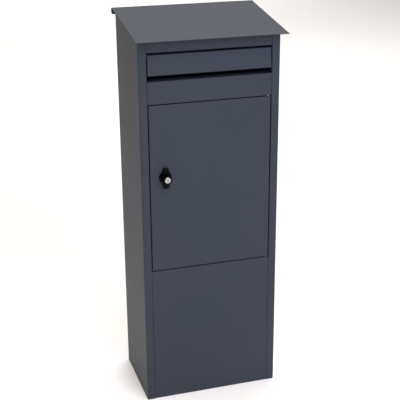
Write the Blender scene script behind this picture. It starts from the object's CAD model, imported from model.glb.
"""Looks of the parcel drop box: powder-coated sheet steel, letter flap, parcel door and wing knob."""
import math

import bmesh
import bpy
from mathutils import Matrix, Vector


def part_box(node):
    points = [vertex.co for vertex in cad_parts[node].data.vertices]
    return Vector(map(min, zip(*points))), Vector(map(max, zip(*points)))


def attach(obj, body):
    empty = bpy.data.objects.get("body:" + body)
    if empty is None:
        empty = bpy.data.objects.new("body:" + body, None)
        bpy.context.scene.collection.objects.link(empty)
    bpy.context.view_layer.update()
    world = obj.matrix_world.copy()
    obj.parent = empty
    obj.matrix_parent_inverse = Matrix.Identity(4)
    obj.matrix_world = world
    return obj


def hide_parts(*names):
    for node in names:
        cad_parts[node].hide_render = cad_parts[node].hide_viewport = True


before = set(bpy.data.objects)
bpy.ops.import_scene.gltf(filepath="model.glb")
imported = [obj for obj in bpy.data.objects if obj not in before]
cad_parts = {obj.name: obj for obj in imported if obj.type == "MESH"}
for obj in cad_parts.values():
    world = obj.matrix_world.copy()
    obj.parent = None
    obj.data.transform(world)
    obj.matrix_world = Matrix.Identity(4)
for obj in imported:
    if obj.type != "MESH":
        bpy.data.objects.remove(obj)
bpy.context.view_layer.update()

# ---------------------------------------------------------------- sizes
# Pieces are drawn in millimetres and become metres when they are finished, in finish_piece().
MM = 0.001
SHEET = 1.2
DOOR_SHEET = 1.5
# Outer radii of the folds.
BEND = 2.4
CORNER_BEND = 3.0
TIGHT_BEND = 1.8
DOOR_BEND = 2.0
CLEARANCE = 0.3
EDGE_ROUNDING = 0.3
SHARP_ANGLE = 28
ON_AXIS = 1e-6
MITRE_LIMIT = 0.5


def cad(node):
    """Lowest and highest corner of a CAD node, in millimetres."""
    low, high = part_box(node)
    return low / MM, high / MM


WALL_LOW, WALL_HIGH = cad("side_panel_left")
BACK_HIGH = cad("back_panel")[1]
ROOF_LOW, ROOF_HIGH = cad("roof_cover")
DOOR_LOW, DOOR_HIGH = cad("door_panel")
RAIL_LOW, RAIL_HIGH = cad("middle_rail")
PLINTH_LOW, PLINTH_HIGH = cad("lower_front_panel")
FASCIA_LOW = cad("top_fascia")[0]
FLAP_LOW, FLAP_HIGH = cad("letter_flap")
PIN_LOW, PIN_HIGH = cad("lower_hinge_pin")
KNOB_LOW, KNOB_HIGH = cad("lock_knob")

SIDE_X = -WALL_LOW.x
FRONT_Y = WALL_LOW.y
BACK_Y = BACK_HIGH.y
MOVING_GAP = 2.5
SEAM_GAP = 0.5
OPENING_X = DOOR_HIGH.x + MOVING_GAP
FIXED_X = OPENING_X - SEAM_GAP
INNER_X = SIDE_X - SHEET - CLEARANCE
RETURN_DEPTH = 20.0
STOP_LIP_Y = FRONT_Y + 23.8
DOOR_DEPTH = DOOR_HIGH.y - DOOR_LOW.y
PLINTH_TOP = DOOR_LOW.z - 2.6
PLINTH_FOOT = 24.0
END_PLATE_DEPTH = 19.0
REAR_FLANGE = 15.0
ROOF_FLANGE = 20.0
ROOF_FLANGE_FRONT = -98.0
ROOF_FLANGE_BACK = 112.0
FLAP_STOP_EDGE = -160.0
FLAP_STOP_HEIGHTS = (957.0, 971.0)
CHUTE_DROP = 51.0

ROOF_SLOPE = math.radians(9.5)
ROOF_RISE = math.tan(ROOF_SLOPE)
ROOF_THICKNESS = 2.0
ROOF_SHEET = 1.2
ROOF_LAP = 19.0
ROOF_SEATING = 0.2
FRONT_NUT_Y = -70.0
REAR_NUT_Y = 85.0

# Radii of holes, and of the pins that the door and the flap turn on.
PIN_RADIUS = 2.5
PIN_HOLE = 2.9
STUD_HOLE = 2.9
FLAP_BUSH_HOLE = 4.3
ANCHOR_HOLE_RADIUS = 6.0
WALL_HOLE_RADIUS = 4.5

HINGE_X = (PIN_LOW.x + PIN_HIGH.x) / 2
HINGE_Y = (PIN_LOW.y + PIN_HIGH.y) / 2
LOCK_X = (KNOB_LOW.x + KNOB_HIGH.x) / 2
LOCK_Z = (KNOB_LOW.z + KNOB_HIGH.z) / 2


def roof_top(y):
    return ROOF_HIGH.z - (BACK_Y - y) * ROOF_RISE


def roof_under(y):
    return roof_top(y) - ROOF_THICKNESS / math.cos(ROOF_SLOPE)


# ---------------------------------------------------------------- mesh building
def object_from(bm, name="part"):
    bmesh.ops.recalc_face_normals(bm, faces=bm.faces)
    mesh = bpy.data.meshes.new(name)
    bm.to_mesh(mesh)
    bm.free()
    made = bpy.data.objects.new(name, mesh)
    bpy.context.scene.collection.objects.link(made)
    return made


AXES = {
    "x": lambda u, v, w: (w, u, v),
    "y": lambda u, v, w: (u, w, v),
    "z": lambda u, v, w: (u, v, w),
}


def prism(outline, axis, start, end):
    """An outline swept along an axis, between two places on it or two functions of the point."""
    bm = bmesh.new()
    place = AXES[axis]
    ends = []
    for limit in (start, end):
        at = limit if callable(limit) else (lambda u, v, fixed=limit: fixed)
        ends.append([bm.verts.new(place(u, v, at(u, v))) for u, v in outline])
    bm.faces.new(ends[0])
    bm.faces.new(list(reversed(ends[1])))
    count = len(outline)
    for i in range(count):
        j = (i + 1) % count
        bm.faces.new((ends[0][i], ends[0][j], ends[1][j], ends[1][i]))
    return object_from(bm)


def block(x0, x1, y0, y1, z0, z1):
    return prism([(x0, y0), (x1, y0), (x1, y1), (x0, y1)], "z", z0, z1)


def arc(centre, radius, first, last, steps):
    """Points on an arc, angles in degrees."""
    return [
        (centre[0] + radius * math.cos(math.radians(first + (last - first) * i / steps)),
         centre[1] + radius * math.sin(math.radians(first + (last - first) * i / steps)))
        for i in range(steps + 1)
    ]


def circle(radius, centre=(0.0, 0.0), segments=48):
    return arc(centre, radius, 0, 360 * (segments - 1) / segments, segments - 1)


def folded(path, thickness=SHEET, outer_radius=BEND, steps=6):
    """The outline of a folded sheet seen from its end. outer_radius is one radius, or one for each corner."""
    points = [Vector(p) for p in path]
    radii = outer_radius if isinstance(outer_radius, list) else [outer_radius] * (len(path) - 2)
    line = [points[0]]
    for before, corner, after, outside in zip(points, points[1:], points[2:], radii):
        radius = outside - thickness / 2
        to_before, to_after = (before - corner).normalized(), (after - corner).normalized()
        half = math.acos(max(-1.0, min(1.0, to_before.dot(to_after)))) / 2
        centre = corner + (to_before + to_after).normalized() * (radius / math.sin(half))
        first = corner + to_before * (radius / math.tan(half)) - centre
        turn = math.pi - 2 * half
        sign = 1 if (-to_before).cross(to_after) > 0 else -1
        for i in range(steps + 1):
            line.append(centre + Matrix.Rotation(sign * turn * i / steps, 2) @ first)
    line.append(points[-1])
    left, right = [], []
    for i, point in enumerate(line):
        into = (point - line[max(i - 1, 0)]).normalized()
        out = (line[min(i + 1, len(line) - 1)] - point).normalized()
        along = (into + out).normalized()
        normal = Vector((-along.y, along.x))
        reach = thickness / 2 / max(MITRE_LIMIT, along.dot(into if i else out))
        left.append(tuple(point + normal * reach))
        right.append(tuple(point - normal * reach))
    return left + right[::-1]


def tray(u0, u1, v0, v1, depth, place, thickness=SHEET, lip=0.0, outer_radius=BEND, steps=6):
    """A sheet folded up on all four sides. place(u, v, w) gives the point at depth w behind the face."""
    outer, inner = [], []
    small = outer_radius - thickness
    for i in range(steps + 1):
        sine, cosine = math.sin(math.pi / 2 * i / steps), math.cos(math.pi / 2 * i / steps)
        outer.append((outer_radius * (1 - sine), outer_radius * (1 - cosine)))
        inner.append((outer_radius - small * sine, outer_radius - small * cosine))
    if lip:
        for i in range(steps + 1):
            sine, cosine = math.sin(math.pi / 2 * i / steps), math.cos(math.pi / 2 * i / steps)
            outer.append((outer_radius * (1 - cosine), depth - outer_radius * (1 - sine)))
            inner.append((outer_radius - small * cosine, depth - outer_radius + small * sine))
        outer.append((lip, depth))
        inner.append((lip, depth - thickness))
    else:
        outer.append((0.0, depth))
        inner.append((thickness, depth))
    bm = bmesh.new()
    rings = []
    for inset, w in outer + inner[::-1]:
        corners = ((u0 + inset, v0 + inset), (u1 - inset, v0 + inset),
                   (u1 - inset, v1 - inset), (u0 + inset, v1 - inset))
        rings.append([bm.verts.new(place(u, v, w)) for u, v in corners])
    for near, far in zip(rings, rings[1:]):
        for i in range(4):
            j = (i + 1) % 4
            bm.faces.new((near[i], near[j], far[j], far[i]))
    bm.faces.new(rings[0])
    bm.faces.new(rings[-1])
    return object_from(bm)


def lathe(profile, centre, axis, segments=48, hollow=False):
    """A turned piece. profile holds (radius, height) along the axis; a hollow one closes on itself."""
    direction = Vector(axis)
    side = direction.orthogonal().normalized()
    other = direction.cross(side)
    angles = [2 * math.pi * i / segments for i in range(segments)]
    spokes = [side * math.cos(a) + other * math.sin(a) for a in angles]
    bm = bmesh.new()
    rings = []
    for radius, height in profile:
        base = Vector(centre) + direction * height
        if radius < ON_AXIS:
            rings.append([bm.verts.new(base)])
            continue
        rings.append([bm.verts.new(base + spoke * radius) for spoke in spokes])
    pairs = list(zip(rings, rings[1:]))
    if hollow:
        pairs.append((rings[-1], rings[0]))
    for near, far in pairs:
        for i in range(segments):
            j = (i + 1) % segments
            if len(near) == 1:
                bm.faces.new((near[0], far[j], far[i]))
            elif len(far) == 1:
                bm.faces.new((near[i], near[j], far[0]))
            else:
                bm.faces.new((near[i], near[j], far[j], far[i]))
    return object_from(bm)


def rod(radius, axis, u, v, start, end, segments=48):
    return prism(circle(radius, (u, v), segments), axis, start, end)


def combine(target, tools, operation):
    for tool in tools:
        step = target.modifiers.new("combine", "BOOLEAN")
        step.operation = operation
        step.solver = "EXACT"
        step.object = tool
    depsgraph = bpy.context.evaluated_depsgraph_get()
    mesh = bpy.data.meshes.new_from_object(target.evaluated_get(depsgraph))
    target.modifiers.clear()
    target.data = mesh
    for tool in tools:
        bpy.data.objects.remove(tool)
    return target


def cut(target, *tools):
    return combine(target, tools, "DIFFERENCE")


def join(target, *tools):
    return combine(target, tools, "UNION")


def merged(pieces):
    """Several separate solids as one object, for use as one cutter."""
    bm = bmesh.new()
    for piece in pieces:
        bm.from_mesh(piece.data)
        bpy.data.objects.remove(piece)
    return object_from(bm)


def mirrored(made):
    bm = bmesh.new()
    bm.from_mesh(made.data)
    bmesh.ops.transform(bm, matrix=Matrix.Scale(-1, 4, (1, 0, 0)), verts=bm.verts)
    bpy.data.objects.remove(made)
    return object_from(bm)


def turned(made, matrix):
    made.data.transform(matrix)
    return made


def finish_piece(made, name, body, material, nodes=(), rounding=EDGE_ROUNDING):
    """Names a piece, turns millimetres into metres, rounds its edges and hangs it on its body."""
    made.name = name
    made.data.name = name
    made.data.transform(Matrix.Scale(MM, 4))
    made.data.polygons.foreach_set("use_smooth", [True] * len(made.data.polygons))
    made.data.set_sharp_from_angle(angle=math.radians(SHARP_ANGLE))
    if rounding:
        edges = made.modifiers.new("edges", "BEVEL")
        edges.width = rounding * MM
        edges.segments = 2
        edges.limit_method = "ANGLE"
        edges.angle_limit = math.radians(SHARP_ANGLE)
        edges.harden_normals = True
        shading = made.modifiers.new("shading", "WEIGHTED_NORMAL")
        shading.keep_sharp = True
    made.data.materials.clear()
    made.data.materials.append(material)
    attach(made, body)
    if nodes:
        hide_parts(*nodes)
    return made


# ---------------------------------------------------------------- materials
class Nodes:
    """A small helper that adds nodes to a material and links them."""

    def __init__(self, name):
        self.material = bpy.data.materials.new(name)
        self.material.use_nodes = True
        self.tree = self.material.node_tree
        self.shader = self.tree.nodes["Principled BSDF"]
        self.place = self.add("ShaderNodeTexCoord").outputs["Object"]

    def add(self, kind, inputs=None, **settings):
        node = self.tree.nodes.new(kind)
        for key, value in settings.items():
            setattr(node, key, value)
        for key, value in (inputs or {}).items():
            if isinstance(value, bpy.types.NodeSocket):
                self.tree.links.new(value, node.inputs[key])
            else:
                node.inputs[key].default_value = value
        return node

    def noise(self, scale, detail=3.0, roughness=0.5, stretch=None):
        place = self.place
        if stretch:
            place = self.add("ShaderNodeMapping", {"Vector": place, "Scale": stretch}).outputs["Vector"]
        return self.add("ShaderNodeTexNoise", {
            "Vector": place, "Scale": scale, "Detail": detail, "Roughness": roughness,
        }).outputs["Fac"]

    def spread(self, value, low, high, out_low, out_high):
        return self.add("ShaderNodeMapRange", {
            "Value": value, "From Min": low, "From Max": high, "To Min": out_low, "To Max": out_high,
        }).outputs["Result"]

    def blend(self, factor, first, second):
        node = self.add("ShaderNodeMix", data_type="RGBA")
        for index, value in ((0, factor), (6, first), (7, second)):
            if isinstance(value, bpy.types.NodeSocket):
                self.tree.links.new(value, node.inputs[index])
            else:
                node.inputs[index].default_value = value
        return node.outputs[2]

    def bumps(self, *layers):
        """layers hold (height, strength, distance in metres), the coarsest first."""
        normal = None
        for height, strength, distance in layers:
            inputs = {"Height": height, "Strength": strength, "Distance": distance}
            if normal is not None:
                inputs["Normal"] = normal
            normal = self.add("ShaderNodeBump", inputs).outputs["Normal"]
        self.tree.links.new(normal, self.shader.inputs["Normal"])

    def set(self, **inputs):
        for key, value in inputs.items():
            socket = self.shader.inputs[key.replace("_", " ")]
            if isinstance(value, bpy.types.NodeSocket):
                self.tree.links.new(value, socket)
            else:
                socket.default_value = value


def powder_coat():
    dark_tone = (0.0345, 0.0400, 0.0515, 1)
    light_tone = (0.0385, 0.0434, 0.0550, 1)
    fleck = (0.055, 0.061, 0.071, 1)
    m = Nodes("powder_coat_anthracite")
    cloudy = m.noise(5.0, 2.0)
    speckle = m.noise(700.0, 2.0)
    peel = m.noise(420.0, 2.0, 0.45)
    grit = m.noise(1900.0, 1.0)
    tone = m.blend(m.spread(cloudy, 0.3, 0.7, 0.0, 1.0), dark_tone, light_tone)
    color = m.blend(m.spread(speckle, 0.55, 0.75, 0.0, 0.35), tone, fleck)
    m.set(Base_Color=color, Roughness=m.spread(speckle, 0.3, 0.7, 0.42, 0.52), Specular_IOR_Level=0.10)
    m.bumps((cloudy, 0.08, 0.0006), (peel, 0.12, 0.00012), (grit, 0.10, 0.00004))
    return m.material


def black_coating():
    fresh = (0.0010, 0.0010, 0.0013, 1)
    rubbed = (0.0030, 0.0028, 0.0028, 1)
    m = Nodes("black_lock_coating")
    worn = m.noise(260.0, 4.0)
    fine = m.noise(2600.0, 2.0)
    color = m.blend(m.spread(worn, 0.45, 0.75, 0.0, 0.5), fresh, rubbed)
    m.set(Base_Color=color, Roughness=m.spread(worn, 0.3, 0.7, 0.28, 0.40), Specular_IOR_Level=0.06)
    m.bumps((fine, 0.12, 0.00003),)
    return m.material


def nickel_plate():
    bright = (0.68, 0.67, 0.64, 1)
    dull = (0.50, 0.49, 0.47, 1)
    m = Nodes("nickel_plate")
    turning = m.noise(900.0, 3.0, stretch=(1.0, 12.0, 1.0))
    stain = m.noise(160.0, 3.0)
    color = m.blend(m.spread(stain, 0.35, 0.7, 0.0, 1.0), bright, dull)
    m.set(Base_Color=color, Metallic=1.0, Roughness=m.spread(turning, 0.3, 0.7, 0.20, 0.34))
    m.bumps((turning, 0.10, 0.00004),)
    return m.material


def zinc_plate():
    bright = (0.78, 0.79, 0.78, 1)
    dull = (0.64, 0.66, 0.68, 1)
    m = Nodes("zinc_plated_steel")
    spangle = m.noise(320.0, 3.0)
    drawn = m.noise(1500.0, 2.0, stretch=(1.0, 1.0, 0.15))
    color = m.blend(m.spread(spangle, 0.35, 0.65, 0.0, 1.0), bright, dull)
    m.set(Base_Color=color, Metallic=1.0, Roughness=m.spread(spangle, 0.3, 0.7, 0.28, 0.42))
    m.bumps((drawn, 0.12, 0.00004),)
    return m.material


def moulded_plastic(name, light, dark, roughness):
    uneven = 0.06
    m = Nodes(name)
    grain = m.noise(1800.0, 3.0)
    cloudy = m.noise(90.0, 2.0)
    color = m.blend(m.spread(cloudy, 0.3, 0.7, 0.0, 1.0), light, dark)
    m.set(Base_Color=color, Roughness=m.spread(grain, 0.3, 0.7, roughness - uneven, roughness + uneven))
    m.bumps((grain, 0.15, 0.00004),)
    return m.material


COATED = powder_coat()
BLACK = black_coating()
NICKEL = nickel_plate()
ZINC = zinc_plate()
PLASTIC = moulded_plastic("black_polyethylene", (0.016, 0.016, 0.017, 1), (0.010, 0.010, 0.011, 1), 0.5)
RUBBER = moulded_plastic("black_rubber", (0.013, 0.013, 0.013, 1), (0.020, 0.019, 0.018, 1), 0.82)


# ---------------------------------------------------------------- cabinet
def corner_scrap(u, v, sign_u, sign_v, radius, axis, start, end):
    """What is cut from a corner to round it."""
    centre = (u - sign_u * radius, v - sign_v * radius)
    first = {(1, 1): 0, (-1, 1): 90, (-1, -1): 180, (1, -1): 270}[(sign_u, sign_v)]
    over, steps = 1.0, 8
    outside = (u + sign_u * over, v + sign_v * over)
    curve = arc(centre, radius, first, first + 90, steps)
    if sign_u == sign_v:
        tips = [(curve[-1][0], outside[1]), outside, (outside[0], curve[0][1])]
    else:
        tips = [(outside[0], curve[-1][1]), outside, (curve[0][0], outside[1])]
    return prism(curve + tips, axis, start, end)


def roof_nut_places():
    """Where each roof nut sits, on the underside of the sloping roof."""
    places = {}
    for name in ("front_left", "front_right", "rear_left", "rear_right"):
        low, high = cad("roof_nut_" + name)
        x = (low.x + high.x) / 2
        y = FRONT_NUT_Y if name.startswith("front") else REAR_NUT_Y
        places[name] = Matrix.Translation((x, y, roof_under(y))) @ Matrix.Rotation(ROOF_SLOPE, 4, "X")
    return places


ROOF_NUT_PLACES = roof_nut_places()


def side_panel(side):
    half = SHEET / 2
    wall_back = BACK_Y - SHEET - CLEARANCE
    wall_x = -SIDE_X + half
    return_back = FRONT_Y + RETURN_DEPTH
    section = folded([
        (-SIDE_X + REAR_FLANGE, wall_back - half), (wall_x, wall_back - half), (wall_x, FRONT_Y + half),
        (-OPENING_X - half, FRONT_Y + half), (-OPENING_X - half, return_back),
    ], outer_radius=[BEND, CORNER_BEND, TIGHT_BEND])
    wall = prism(section, "z", 0.0, lambda x, y: roof_under(y) + ROOF_SEATING)
    front, back = ROOF_FLANGE_FRONT, ROOF_FLANGE_BACK
    front_z, back_z = roof_under(front) - CLEARANCE, roof_under(back) - CLEARANCE
    flange = prism([(front, front_z), (back, back_z), (back, back_z - SHEET), (front, front_z - SHEET)],
                   "x", wall_x, -SIDE_X + ROOF_FLANGE)
    tab = block(-OPENING_X - SHEET, FLAP_STOP_EDGE, return_back - SHEET, return_back, *FLAP_STOP_HEIGHTS)
    join(wall, flange, tab)
    bush_low, bush_high = cad("flap_bush_left")
    bush_y, bush_z = (bush_low.y + bush_high.y) / 2, (bush_low.z + bush_high.z) / 2
    reach = 4
    holes = [rod(FLAP_BUSH_HOLE, "x", bush_y, bush_z, -OPENING_X - reach, -OPENING_X + reach)]
    for name in ("front_left", "rear_left"):
        holes.append(turned(rod(STUD_HOLE, "z", 0, 0, -6, 6), ROOF_NUT_PLACES[name]))
    relief_edge, relief_drop = -SIDE_X + 1.7, 22
    relief = block(relief_edge, -100, wall_back - SHEET - CLEARANCE, BACK_Y,
                   WALL_HIGH.z - relief_drop, WALL_HIGH.z + 10)
    cut(wall, *holes, relief)
    if side == "right":
        wall = mirrored(wall)
    return finish_piece(wall, "side_panel_" + side + "_sheet", "cabinet", COATED,
                        ["side_panel_" + side])


def spot_weld(x, z, y, sign):
    """A shallow lens that leaves a weld's dimple in a face at y."""
    radius, above, deepest = 2.9, 1.2, -0.26
    lens = [(0, above), (radius, above), (radius, 0.0), (2.2, -0.16), (1.2, -0.24), (0, deepest)]
    return lathe(lens, (x, y, z), (0, sign, 0), 20)


def wall_hole_places():
    places = {}
    for name in ("upper_left", "upper_right", "lower_left", "lower_right"):
        low, high = cad("wall_hole_plug_" + name)
        places[name] = ((low.x + high.x) / 2, (low.z + high.z) / 2)
    return places


WALL_HOLES = wall_hole_places()


def back_panel():
    joggle, joggle_height = ROOF_HIGH.z - ROOF_LAP - 1.5, 3
    inset = SHEET + CLEARANCE
    half = SHEET / 2
    outline = folded([
        (BACK_Y - half, 0), (BACK_Y - half, joggle - joggle_height), (BACK_Y - inset - half, joggle),
        (BACK_Y - inset - half, roof_under(BACK_Y) - 1),
    ], outer_radius=1.6, steps=4)
    panel = prism(outline, "x", -SIDE_X + 1, SIDE_X - 1)
    holes = [rod(WALL_HOLE_RADIUS, "y", x, z, BACK_Y - 6, BACK_Y + 6) for x, z in WALL_HOLES.values()]
    notch_width = 2
    corners = [block(s * SIDE_X, s * (SIDE_X - notch_width), BACK_Y - 6, BACK_Y + 1,
                     joggle - joggle_height - 1, ROOF_HIGH.z) for s in (-1, 1)]
    cut(panel, *holes, *corners)
    weld_inset, first_weld, weld_pitch, welds_a_side = 8.5, 40, 84, 13
    rows = [(s * (SIDE_X - weld_inset), first_weld + weld_pitch * i)
            for s in (-1, 1) for i in range(welds_a_side)]
    base_weld_z, floor_weld_z = 12, 393
    rows += [(x, z) for x in range(-120, 121, 60) for z in (base_weld_z, floor_weld_z)]
    cut(panel, merged([spot_weld(x, z, BACK_Y, 1) for x, z in rows]))
    return finish_piece(panel, "back_panel_sheet", "cabinet", COATED, ["back_panel"])


def wall_hole_plug(name):
    x, z = WALL_HOLES[name]
    inner_face = BACK_Y - SHEET - CLEARANCE
    stem = WALL_HOLE_RADIUS - CLEARANCE
    head_radius, head_height, stem_depth = 8.0, 2.0, -1.5
    profile = [
        (0, head_height), (head_radius - 2.0, head_height), (head_radius - 0.4, 1.2), (head_radius, 0.0),
        (stem, 0.0), (stem, -1.2), (WALL_HOLE_RADIUS - 0.9, stem_depth), (3.0, stem_depth),
        (2.7, -0.6), (0, -0.6),
    ]
    plug = lathe(profile, (x, inner_face, z), (0, -1, 0), 40)
    return finish_piece(plug, "hole_plug_" + name, "cabinet", PLASTIC, ["wall_hole_plug_" + name],
                        0.15)


def rear_corner_cuts(high_y, z0, z1):
    """Room for the side panels' rear flanges at a tray's two back corners."""
    depth, width = 1.4, 16.5
    return [block(s * SIDE_X, s * (SIDE_X - width), high_y - depth, high_y + 5, z0, z1) for s in (-1, 1)]


def base_plate():
    low, high = cad("base_plate")
    plate = tray(low.x, high.x, low.y, high.y, high.z, lambda u, v, w: (u, v, w), 1.5)
    holes = [rod(ANCHOR_HOLE_RADIUS, "z", x, y, -5, 5) for x in (-140, 140) for y in (-55, 85)]
    cut(plate, *rear_corner_cuts(high.y, -1, 40), *holes)
    return finish_piece(plate, "base_plate_tray", "cabinet", COATED, ["base_plate"])


def end_plates(z0, z1, depth_back):
    face = PLINTH_LOW.y + SHEET / 2
    return [block(s * FIXED_X, s * (FIXED_X - SHEET), face, depth_back, z0, z1) for s in (-1, 1)]


def hinge_hole(z):
    return rod(PIN_HOLE, "z", HINGE_X, HINGE_Y, z - 5, z + 5)


def lower_front_panel():
    half = SHEET / 2
    face = PLINTH_LOW.y + half
    stop = STOP_LIP_Y + half
    top = PLINTH_TOP - half
    strip = prism(folded([
        (stop, PLINTH_HIGH.z), (stop, top), (face, top), (face, half), (FRONT_Y + PLINTH_FOOT, half),
    ], outer_radius=TIGHT_BEND), "x", -FIXED_X, FIXED_X)
    join(strip, *end_plates(half, top, FRONT_Y + END_PLATE_DEPTH))
    cut(strip, hinge_hole(PLINTH_TOP))
    return finish_piece(strip, "plinth_panel", "cabinet", COATED, ["lower_front_panel"])


def middle_rail():
    half = SHEET / 2
    face = RAIL_LOW.y + half
    ledge_back, ledge_lip = RAIL_HIGH.y - half, 12
    top = RAIL_HIGH.z - half
    bottom = DOOR_HIGH.z + MOVING_GAP + half
    stop = STOP_LIP_Y + half
    strip = prism(folded([
        (ledge_back, RAIL_HIGH.z - ledge_lip), (ledge_back, top), (face, top),
        (face, bottom), (stop, bottom), (stop, RAIL_LOW.z),
    ], outer_radius=TIGHT_BEND), "x", -FIXED_X, FIXED_X)
    join(strip, *end_plates(bottom, top, FRONT_Y + END_PLATE_DEPTH))
    cut(strip, hinge_hole(bottom))
    return finish_piece(strip, "rail_strip", "cabinet", COATED, ["middle_rail"])


def top_fascia():
    half = SHEET / 2
    face = FASCIA_LOW.y + half
    top = roof_under(face) - 0.4 - half
    bottom = FASCIA_LOW.z + half
    bottom_back, top_depth = FRONT_Y + 17, 16
    plate_back, plate_rise = FRONT_Y + 16, 14 * ROOF_RISE
    strip = prism(folded([
        (bottom_back, bottom), (face, bottom), (face, top), (face + top_depth, top + top_depth * ROOF_RISE),
    ], outer_radius=TIGHT_BEND), "x", -FIXED_X, FIXED_X)
    outline = [(face, bottom), (plate_back, bottom), (plate_back, top + plate_rise), (face, top)]
    join(strip, *[prism(outline, "x", s * FIXED_X, s * (FIXED_X - SHEET)) for s in (-1, 1)])
    return finish_piece(strip, "fascia_strip", "cabinet", COATED, ["top_fascia"])


def threaded(radius, pitch, length, depth=0.35):
    """Half a profile of a threaded rod, from its tip at height 0 up to its length."""
    profile = [(0, 0), (radius - 0.8, 0), (radius - depth, 0.5)]
    height = 0.5
    while height + pitch < length:
        profile += [(radius, height + pitch * 0.5), (radius - depth, height + pitch)]
        height += pitch
    return profile + [(radius, length), (0, length)]


def on_roof_plane(made):
    """Shears a piece drawn with z = 0 on a level roof up onto the sloping roof."""
    made.data.transform(Matrix((
        (1, 0, 0, 0), (0, 1, 0, 0), (0, ROOF_RISE, 1 / math.cos(ROOF_SLOPE), roof_top(0)), (0, 0, 0, 1))))
    return made


def roof_cover():
    edge, front = ROOF_HIGH.x, ROOF_LOW.y
    nose, hem = ROOF_THICKNESS / 2, 9.0
    under = -ROOF_SHEET
    left_edge = arc((-edge + nose, -nose), nose, 90, 270, 8)
    left_edge += [(-edge + hem, -ROOF_THICKNESS), (-edge + hem, under)]
    right_edge = [(-x, z) for x, z in reversed(left_edge)]
    slab = prism(left_edge + right_edge, "y", front + nose, BACK_Y - 8)
    front_edge = arc((front + nose, -nose), nose, 90, 270, 8)
    front_edge += [(front + hem, -ROOF_THICKNESS), (front + hem, 0)]
    front_bar = prism(front_edge, "x", -edge, edge)
    join(on_roof_plane(slab), on_roof_plane(front_bar))
    lap_face, lap_front = BACK_Y - ROOF_SHEET / 2, BACK_Y - 12
    lap_bottom = ROOF_HIGH.z - ROOF_LAP
    middle = ROOF_SHEET / 2 / math.cos(ROOF_SLOPE)
    lap = prism(folded([
        (lap_face, lap_bottom), (lap_face, roof_top(lap_face) - middle),
        (lap_front, roof_top(lap_front) - middle),
    ], ROOF_SHEET), "x", -edge, edge)
    join(slab, lap)
    low_z, high_z = ROOF_LOW.z - 5, ROOF_HIGH.z + 5
    lap_corner, front_corner = 6.0, 2.5
    corners = [corner_scrap(side * edge, lap_bottom, side, -1, lap_corner, "y", BACK_Y - 4, BACK_Y + 2)
               for side in (-1, 1)]
    corners += [corner_scrap(side * edge, front, side, -1, front_corner, "z", low_z, high_z)
                for side in (-1, 1)]
    cut(slab, *corners)
    finish_piece(slab, "roof_sheet", "cabinet", COATED, ["roof_cover"], 0.35)
    stud_radius, thread_pitch, stud_length = 2.4, 0.8, 13.0
    for name, matrix in ROOF_NUT_PLACES.items():
        stud = lathe(threaded(stud_radius, thread_pitch, stud_length), (0, 0, -stud_length), (0, 0, 1), 24)
        finish_piece(turned(stud, matrix), "roof_stud_" + name, "cabinet", ZINC,
                     rounding=0)


def hexagon(across_flats, centre=(0.0, 0.0)):
    corner = across_flats / math.sqrt(3)
    angles = [math.radians(60 * i) for i in range(6)]
    return [(centre[0] + corner * math.cos(a), centre[1] + corner * math.sin(a)) for a in angles]


def roof_nut(name):
    top = -2.0
    height, flange_radius, flats, bore = 5.3, 5.4, 8.0, 2.75
    nut = prism(hexagon(flats), "z", top - 5.2, top - 0.6)
    cone = [(0, 0), (flange_radius, 0), (flange_radius, -3.6), (4.0, -height), (0, -height)]
    combine(nut, [lathe(cone, (0, 0, top), (0, 0, 1), 32)], "INTERSECT")
    flange = [(0, 0), (flange_radius, 0), (flange_radius, -0.6), (4.2, -1.3), (0, -1.3)]
    join(nut, lathe(flange, (0, 0, top), (0, 0, 1), 40))
    cut(nut, rod(bore, "z", 0, 0, top - 9, top + 3, 32))
    return finish_piece(turned(nut, ROOF_NUT_PLACES[name]), "flange_nut_roof_" + name, "cabinet", ZINC,
                        ["roof_nut_" + name], 0.12)


def compartment_floor():
    low, high = cad("compartment_floor")
    floor = tray(low.x, high.x, low.y, high.y, high.z - low.z, lambda u, v, w: (u, v, high.z - w))
    cut(floor, *rear_corner_cuts(high.y, low.z - 5, high.z + 5))
    return finish_piece(floor, "compartment_floor_tray", "cabinet", COATED, ["compartment_floor"])


def letter_chute():
    low, high = cad("letter_chute")
    front, rear = low.y + SHEET / 2, high.y - SHEET / 2
    front_z, rear_z = high.z - SHEET / 2, high.z - CHUTE_DROP
    front_skirt, rear_skirt, cheek_inset = 18, 12, 1.5
    strip = prism(folded([
        (front, front_z - front_skirt), (front, front_z), (rear, rear_z), (rear, rear_z - rear_skirt),
    ]), "x", low.x, high.x)
    outline = [
        (front, front_z - cheek_inset), (front, front_z - 16),
        (rear, rear_z - 11), (rear, rear_z - cheek_inset),
    ]
    join(strip, *[prism(outline, "x", s * INNER_X, s * (INNER_X - SHEET)) for s in (-1, 1)])
    return finish_piece(strip, "letter_chute_sheet", "cabinet", COATED, ["letter_chute"])


def strike_plate():
    low, high = cad("strike_plate")
    thickness = 1.5
    half = thickness / 2
    plate = prism(folded([(high.x - half, low.y), (high.x - half, high.y - half), (low.x, high.y - half)],
                         thickness, 2.2), "z", low.z, high.z)
    rivet = [(0, 1.0), (1.6, 0.9), (2.8, 0.0), (0, 0.0)]
    rivet_inset, rivet_y = 10, low.y + 8
    join(plate, *[lathe(rivet, (high.x - thickness, rivet_y, z), (-1, 0, 0), 24)
                  for z in (low.z + rivet_inset, high.z - rivet_inset)])
    return finish_piece(plate, "strike_plate_bracket", "cabinet", ZINC, ["strike_plate"], 0.2)


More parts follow.
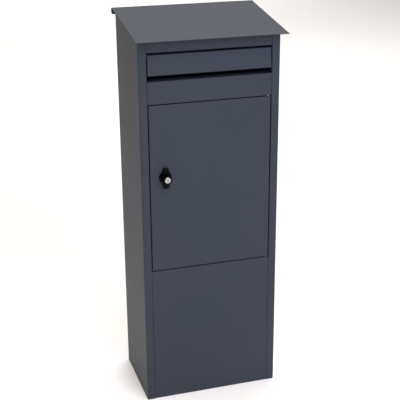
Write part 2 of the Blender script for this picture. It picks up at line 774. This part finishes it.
def door_buffer(name):
    low, high = cad("door_buffer_" + name)
    centre = ((low.x + high.x) / 2, high.y, (low.z + high.z) / 2)
    height = high.y - low.y
    radius, crown = 4.6, 2.0
    profile = [(0, 0), (radius - 0.4, 0), (radius, 0.4)]
    profile += arc((radius - crown, height - crown), crown, 0, 90, 6)
    profile += [(1.5, height), (1.1, height - 0.5), (0, height - 0.6)]
    return finish_piece(lathe(profile, centre, (0, -1, 0), 40), "rubber_buffer_" + name, "cabinet", RUBBER,
                        ["door_buffer_" + name], 0)


def hinge_pin(node, up):
    """A turned pin. The upper one has a bright shoulder that shows in the gap above the door."""
    low, high = cad(node)
    length = high.z - low.z
    base = (HINGE_X, HINGE_Y, low.z if up else high.z)
    head_radius, head = 4.0, 3.7
    gap_start = head + SHEET + CLEARANCE
    shoulder = 2.55 if up else 3.3
    shoulder_end = gap_start + 1.5
    profile = [
        (0, 0), (3.2, 0), (head_radius, 0.8), (head_radius, head - 0.4), (3.6, head), (PIN_RADIUS, head),
        (PIN_RADIUS, gap_start), (shoulder, gap_start), (shoulder, shoulder_end), (PIN_RADIUS, shoulder_end),
        (PIN_RADIUS, length - 0.8), (1.7, length), (0, length),
    ]
    return finish_piece(lathe(profile, base, (0, 0, 1 if up else -1)), node + "_turned", "cabinet", ZINC,
                        [node], 0)


def hinge_bush(node, flange_low):
    low, high = cad(node)
    height = high.z - low.z
    bore, sleeve, flange = PIN_RADIUS + 0.25, 3.9, 5.0
    collar_height = 2.0 if flange_low else 1.3
    rim = collar_height - 0.6
    profile = [
        (bore, rim), (flange - 0.3, rim), (flange, rim + 0.2), (flange, collar_height),
        (sleeve, collar_height),
        (sleeve, height - 0.4), (sleeve - 0.4, height), (bore, height),
    ]
    base = (HINGE_X, HINGE_Y, low.z if flange_low else high.z)
    bush = lathe(profile, base, (0, 0, 1 if flange_low else -1), hollow=True)
    return finish_piece(bush, node + "_moulded", "door", PLASTIC, [node], 0)


# ---------------------------------------------------------------- door
def door_panel():
    back_lip, bush_hole, lock_hole, reach = 12.0, 4.1, 9.6, 5
    panel = tray(DOOR_LOW.x, DOOR_HIGH.x, DOOR_LOW.z, DOOR_HIGH.z, DOOR_DEPTH,
                 lambda u, v, w: (u, DOOR_LOW.y + w, v), DOOR_SHEET, back_lip, DOOR_BEND)
    cut(panel,
        rod(bush_hole, "z", HINGE_X, HINGE_Y, DOOR_LOW.z - reach, DOOR_LOW.z + reach),
        rod(bush_hole, "z", HINGE_X, HINGE_Y, DOOR_HIGH.z - reach, DOOR_HIGH.z + reach),
        rod(lock_hole, "y", LOCK_X, LOCK_Z, DOOR_LOW.y - reach, DOOR_LOW.y + reach))
    return finish_piece(panel, "door_tray", "door", COATED, ["door_panel"], 0.35)


def door_stiffener():
    low, high = cad("door_stiffener")
    base = low.y + SHEET / 2
    crown = high.y - SHEET / 2
    brim, first_weld, weld_pitch, welds_a_side = 14, 20, 66, 7
    hat = prism(folded([
        (low.x, base), (low.x + brim, base), (low.x + brim, crown),
        (high.x - brim, crown), (high.x - brim, base), (high.x, base),
    ]), "z", low.z, high.z)
    welds = [spot_weld(x, low.z + first_weld + weld_pitch * i, low.y + SHEET, 1)
             for x in (low.x + 6, high.x - 6) for i in range(welds_a_side)]
    cut(hat, merged(welds))
    return finish_piece(hat, "door_stiffener_hat", "door", COATED, ["door_stiffener"])


# ---------------------------------------------------------------- lock
LOCK_FRONT = (0, -1, 0)


def lock_point(y):
    return (LOCK_X, y, LOCK_Z)


def lock_body():
    sleeve_end = cad("lock_body")[1].y
    seat = DOOR_LOW.y - CLEARANCE
    bore, rim, edge_round = 6.4, 17.5, 2.2
    rosette = [(bore, 0), (rim - 0.5, 0), (rim, 0.5), (rim, 1.2)]
    rosette += arc((rim - edge_round, 1.4), edge_round, 0, 90, 6)
    rosette += [(14.4, 3.6), (14.0, 3.2), (bore, 3.2)]
    finish_piece(lathe(rosette, lock_point(seat), LOCK_FRONT, 64, True), "lock_rosette", "door", BLACK,
                 ["lock_body"], 0)
    length = sleeve_end - seat
    root, crest, pitch = 8.7, 9.3, 1.5
    sleeve = [(bore, 0), (root, 0)]
    height = 0.6
    while height + pitch < length - 0.5:
        sleeve += [(crest, height + 0.75), (root, height + pitch)]
        height += pitch
    sleeve += [(root, length - 0.4), (root - 0.4, length), (bore, length)]
    finish_piece(lathe(sleeve, lock_point(seat + 0.05), (0, 1, 0), 48, True), "lock_threaded_sleeve", "door",
                 ZINC, rounding=0)


def lock_nut():
    low, high = cad("lock_nut")
    flats, corner_cut, bore = 24.9, 14.6, 9.45
    nut = prism(hexagon(flats, (LOCK_X, LOCK_Z)), "y", low.y, high.y)
    thickness = high.y - low.y
    chamfer = [(0, 0), (corner_cut, 0), (corner_cut, thickness - 1.2), (12.6, thickness), (0, thickness)]
    combine(nut, [lathe(chamfer, lock_point(low.y), (0, 1, 0))], "INTERSECT")
    cut(nut, rod(bore, "y", LOCK_X, LOCK_Z, low.y - 2, high.y + 2))
    return finish_piece(nut, "lock_hexagon_nut", "door", ZINC, ["lock_nut"], 0.2)


BARREL_RADIUS = 12.2
PLUG_RADIUS = 8.2
KNOB_BACK = KNOB_LOW.y + 24.0
WING_DEPTH = 9.0


def wing_blank():
    """The wing before its barrel: its side view, trimmed to the shape seen from the front."""
    half_length = (KNOB_HIGH.z - KNOB_LOW.z) / 2
    end_half_width, depth, shoulder, end_slope = 6.2, 8.4, 2.2, 1.6
    side_view = [
        (KNOB_BACK, -half_length), (KNOB_BACK - depth + end_slope, -half_length),
        (KNOB_BACK - depth, -half_length + end_slope), (KNOB_BACK - WING_DEPTH, -BARREL_RADIUS),
    ]
    side_view += [(y, -z) for y, z in reversed(side_view)]
    wing = prism([(y, z + LOCK_Z) for y, z in side_view], "x", LOCK_X - 13, LOCK_X + 13)
    quarter = [
        (BARREL_RADIUS, shoulder), (end_half_width, half_length - 0.6),
        (end_half_width - 0.4, half_length + 1),
    ]
    half_plan = quarter + [(-x, z) for x, z in reversed(quarter)]
    plan = half_plan + [(-x, -z) for x, z in half_plan]
    trim = prism([(x + LOCK_X, z + LOCK_Z) for x, z in plan], "y", KNOB_BACK - 30, KNOB_BACK + 5)
    return combine(wing, [trim], "INTERSECT")


def lock_knob():
    cam_low, cam_high = cad("lock_cam")
    length = KNOB_BACK - KNOB_LOW.y
    wing = wing_blank()
    barrel = [
        (0, 0), (BARREL_RADIUS + 2.0, 0), (BARREL_RADIUS + 1.9, 1.8), (BARREL_RADIUS + 1.0, 6.0),
        (BARREL_RADIUS + 0.4, 11.0), (BARREL_RADIUS, 15.0), (BARREL_RADIUS, length - 1.4),
        (BARREL_RADIUS - 0.4, length - 0.4), (BARREL_RADIUS - 1.3, length), (0, length),
    ]
    join(wing, lathe(barrel, lock_point(KNOB_BACK), LOCK_FRONT, 64))
    spindle, square, screw_hole, plug_seat = 6, 3.5, 2.3, 7.8
    join(wing, rod(spindle, "y", LOCK_X, LOCK_Z, KNOB_BACK - 1, cam_low.y - 0.4))
    join(wing, block(LOCK_X - square, LOCK_X + square, KNOB_BACK, cam_high.y + 0.2,
                     LOCK_Z - square, LOCK_Z + square))
    cut(wing,
        rod(PLUG_RADIUS + 0.25, "y", LOCK_X, LOCK_Z, KNOB_LOW.y - 5, KNOB_BACK - plug_seat, 64),
        rod(screw_hole, "y", LOCK_X, LOCK_Z, cam_low.y - 7, cam_high.y + 10, 32))
    return finish_piece(wing, "wing_knob", "knob", BLACK, ["lock_knob"], 0.8)


def key_plug():
    low, high = cad("key_plug")
    length = high.y - low.y
    ring, core, groove, chamfer = 6.1, 4.9, 1.6, 0.7
    profile = [
        (0, 0), (PLUG_RADIUS, 0), (PLUG_RADIUS, length - chamfer), (PLUG_RADIUS - chamfer, length),
        (ring, length), (ring, length - groove), (core, length - groove), (core, length - 0.4),
        (core - 0.3, length - 0.2), (0, length - 0.2),
    ]
    plug = lathe(profile, lock_point(high.y), LOCK_FRONT, 64)
    slot_half, waist, ward = 4.2, 1.5, 2.4
    keyway = [
        (-waist, -slot_half), (waist, -slot_half), (waist, -1.2), (ward, -0.6), (ward, 0.8), (waist, 1.4),
        (waist, slot_half), (-waist, slot_half), (-waist, 2.4), (-ward, 1.8), (-ward, 0.4), (-waist, -0.2),
    ]
    cut(plug, prism([(x + LOCK_X, z + LOCK_Z) for x, z in keyway], "y", low.y - 2, low.y + 9))
    return finish_piece(plug, "key_cylinder_plug", "key", NICKEL, ["key_plug"], 0.12)


def lock_cam():
    low, high = cad("lock_cam")
    half = (high.x - low.x) / 2
    tip = high.z - half
    square = 3.7
    outline = arc((LOCK_X, tip), half, 0, 180, 16) + arc((LOCK_X, LOCK_Z), half, 180, 360, 16)
    bar = prism(outline, "y", low.y, high.y)
    cut(bar, block(LOCK_X - square, LOCK_X + square, low.y - 5, high.y + 5,
                   LOCK_Z - square, LOCK_Z + square))
    return finish_piece(bar, "cam_bar", "knob", ZINC, ["lock_cam"], 0.35)


def cam_screw():
    head_height, washer_height, washer_radius, bore = 4.0, 1.2, 7.0, 2.3
    seat = cad("cam_screw")[1].y - head_height
    washer = [
        (bore, 0), (washer_radius - 0.4, 0), (washer_radius, 0.3), (washer_radius, 0.9),
        (washer_radius - 0.4, washer_height), (bore, washer_height),
    ]
    finish_piece(lathe(washer, lock_point(seat), (0, 1, 0), 48, True), "cam_washer", "knob", ZINC,
                 rounding=0)
    tip, shank, head = -9.0, 2.0, 4.2
    profile = [
        (0, tip), (shank - 0.4, tip), (shank, -8.4), (shank, washer_height), (head, washer_height),
        (head, 3.4), (head - 0.6, head_height), (0, head_height),
    ]
    screw = lathe(profile, lock_point(seat), (0, 1, 0))
    cut(screw, prism(hexagon(4.0, (LOCK_X, LOCK_Z)), "y", seat + 2.0, seat + 6.0))
    return finish_piece(screw, "cam_cap_screw", "knob", ZINC, ["cam_screw"], 0.15)


# ---------------------------------------------------------------- letter flap
def letter_flap():
    top_inset, depth, pin_hole = 2.5, 15.0, 2.7
    lean = (FLAP_LOW.y - (FRONT_Y + top_inset)) / (FLAP_HIGH.z - FLAP_LOW.z)

    def place(u, v, w):
        return (u, FRONT_Y + top_inset + (FLAP_HIGH.z - v) * lean + w, v)

    flap = tray(FLAP_LOW.x, FLAP_HIGH.x, FLAP_LOW.z, FLAP_HIGH.z, depth, place, outer_radius=TIGHT_BEND)
    low, high = cad("flap_pin_left")
    pin_y, pin_z = (low.y + high.y) / 2, (low.z + high.z) / 2
    cut(flap, rod(pin_hole, "x", pin_y, pin_z, FLAP_LOW.x - 5, FLAP_HIGH.x + 5, 32))
    return finish_piece(flap, "letter_flap_tray", "flap", COATED, ["letter_flap"])


def across(node, side):
    """Inner end, outward direction and length of a small piece on the flap's axis."""
    low, high = cad(node)
    start = high.x if side == "left" else low.x
    sign = -1 if side == "left" else 1
    return (start, (low.y + high.y) / 2, (low.z + high.z) / 2), (sign, 0, 0), high.x - low.x


def flap_pin(side):
    node = "flap_pin_" + side
    start, direction, length = across(node, side)
    head_radius, head_height = 4.0, 2.0
    profile = [
        (0, 0), (2.6, 0.1), (3.6, 0.7), (head_radius, 1.4), (head_radius, head_height),
        (PIN_RADIUS, head_height), (PIN_RADIUS, length - 0.6), (1.9, length), (0, length),
    ]
    return finish_piece(lathe(profile, start, direction, 40), node + "_rivet", "flap", ZINC,
                        [node], 0)


def flap_bush(side):
    node = "flap_bush_" + side
    start, direction, length = across(node, side)
    bore, sleeve, collar, collar_height = 2.7, 4.0, 5.6, 1.9
    profile = [
        (bore, 0), (collar - 0.3, 0), (collar, 0.3), (collar, 1.6), (collar - 0.3, collar_height),
        (sleeve, collar_height), (sleeve, length - 0.4), (sleeve - 0.4, length), (bore, length),
    ]
    return finish_piece(lathe(profile, start, direction, 40, True), node + "_moulded", "cabinet", PLASTIC,
                        [node], 0)


def flap_buffer(side):
    node = "flap_buffer_" + side
    low, high = cad(node)
    pad = prism([(low.x, low.z), (high.x, low.z), (high.x, high.z), (low.x, high.z)], "y", low.y, high.y)
    return finish_piece(pad, node + "_pad", "cabinet", RUBBER, [node], 1.2)


# ---------------------------------------------------------------- build the object
for panel_side in ("left", "right"):
    side_panel(panel_side)
    flap_pin(panel_side)
    flap_bush(panel_side)
    flap_buffer(panel_side)
back_panel()
for hole_name in WALL_HOLES:
    wall_hole_plug(hole_name)
base_plate()
lower_front_panel()
middle_rail()
top_fascia()
roof_cover()
for nut_name in ROOF_NUT_PLACES:
    roof_nut(nut_name)
compartment_floor()
letter_chute()
strike_plate()
for buffer_name in ("upper_left", "upper_right", "lower_left", "lower_right"):
    door_buffer(buffer_name)
hinge_pin("lower_hinge_pin", True)
hinge_pin("upper_hinge_pin", False)
hinge_bush("lower_hinge_bush", True)
hinge_bush("upper_hinge_bush", False)
door_panel()
door_stiffener()
lock_body()
lock_nut()
lock_knob()
key_plug()
lock_cam()
cam_screw()
letter_flap()


# ---------------------------------------------------------------- studio
def floor_material():
    m = Nodes("studio_floor")
    cloudy = m.noise(1.5, 2.0)
    m.set(Base_Color=m.blend(cloudy, (0.92, 0.885, 0.86, 1), (0.94, 0.905, 0.88, 1)), Roughness=0.6)
    return m.material


def studio_floor():
    bm = bmesh.new()
    bmesh.ops.create_grid(bm, x_segments=8, y_segments=8, size=60.0)
    floor = object_from(bm, "studio_floor")
    floor.location = (0, 0, -0.0003)
    floor.data.materials.append(floor_material())


def soft_light(name, place, target, size, power, color, spread):
    """A square softbox. A spread below 180 degrees is a grid in front of it."""
    light = bpy.data.lights.new(name, "AREA")
    light.shape = "SQUARE"
    light.size = size
    light.energy = power
    light.color = color
    light.spread = math.radians(spread)
    lamp = bpy.data.objects.new(name, light)
    lamp.location = place
    lamp.rotation_euler = (Vector(target) - Vector(place)).to_track_quat("-Z", "Y").to_euler()
    bpy.context.scene.collection.objects.link(lamp)


# Name, place, target, size in metres, power in watts, color, spread in degrees.
SOFTBOXES = (
    ("front_softbox", (0.2, -3.0, 1.5), (0, 0, 0.7), 1.6, 16, (0.98, 1.0, 0.96), 180),
    ("window_softbox", (1.8, -2.6, 1.7), (0, 0, 0.6), 1.8, 19, (0.33, 0.50, 1.0), 180),
    ("sky_softbox", (0.5, -2.6, 2.3), (0, 0, 0.9), 1.4, 8, (0.62, 0.74, 1.0), 80),
    ("top_softbox", (0.2, -1.0, 3.2), (0, 0, 0.9), 2.2, 50, (1.0, 0.86, 0.72), 180),
    ("roof_softbox", (0.3, 0.9, 3.0), (0.1, 0, 1.0), 1.6, 3.9, (1.0, 0.98, 0.96), 60),
    ("left_overhead", (-1.4, -0.8, 3.2), (-1.4, -0.8, 0), 1.6, 9, (0.95, 0.97, 1.0), 70),
    ("right_overhead", (1.3, -1.0, 3.2), (1.3, -1.0, 0), 1.6, 5, (1.0, 0.97, 0.95), 70),
    ("backdrop_softbox", (1.2, 3.2, 3.6), (1.4, 3.6, 0), 4.0, 108, (1.0, 0.985, 0.97), 140),
)
# Large boxes far away keep the floor and the horizon pale in every direction.
FAR_PLACES = {"front": (-1.0, -9.0), "left": (-9.0, 0.0), "right": (10.0, 0.0), "rear": (0.0, 11.0)}
FAR_HEIGHT = 4.5


def studio_lights():
    world = bpy.data.worlds.new("studio_air")
    world.use_nodes = True
    background = world.node_tree.nodes["Background"]
    background.inputs["Color"].default_value = (1.0, 1.0, 1.0, 1)
    background.inputs["Strength"].default_value = 0.42
    bpy.context.scene.world = world
    for box in SOFTBOXES:
        soft_light(*box)
    for name, (x, y) in FAR_PLACES.items():
        soft_light("far_softbox_" + name, (x, y, FAR_HEIGHT), (x, y, 0), 7.0, 260, (1.0, 1.0, 1.0), 100)


def camera():
    yaw, pitch, roll = math.radians(17.16), math.radians(20.26), math.radians(0.47)
    eye_place = (-0.7328, -2.3948, 1.4780)
    forward = Vector((math.sin(yaw) * math.cos(pitch), math.cos(yaw) * math.cos(pitch), -math.sin(pitch)))
    level = Vector((math.cos(yaw), -math.sin(yaw), 0))
    down = forward.cross(level)
    right = level * math.cos(roll) + down * math.sin(roll)
    lowered = down * math.cos(roll) - level * math.sin(roll)
    data = bpy.data.cameras.new("camera")
    data.sensor_width = 36.0
    data.lens = 83.28
    data.clip_end = 100.0
    eye = bpy.data.objects.new("camera", data)
    turn = Matrix((right, -lowered, -forward)).transposed()
    eye.matrix_world = Matrix.Translation(eye_place) @ turn.to_4x4()
    bpy.context.scene.collection.objects.link(eye)
    bpy.context.scene.camera = eye


studio_floor()
studio_lights()
camera()
bpy.context.scene.view_settings.view_transform = "Standard"
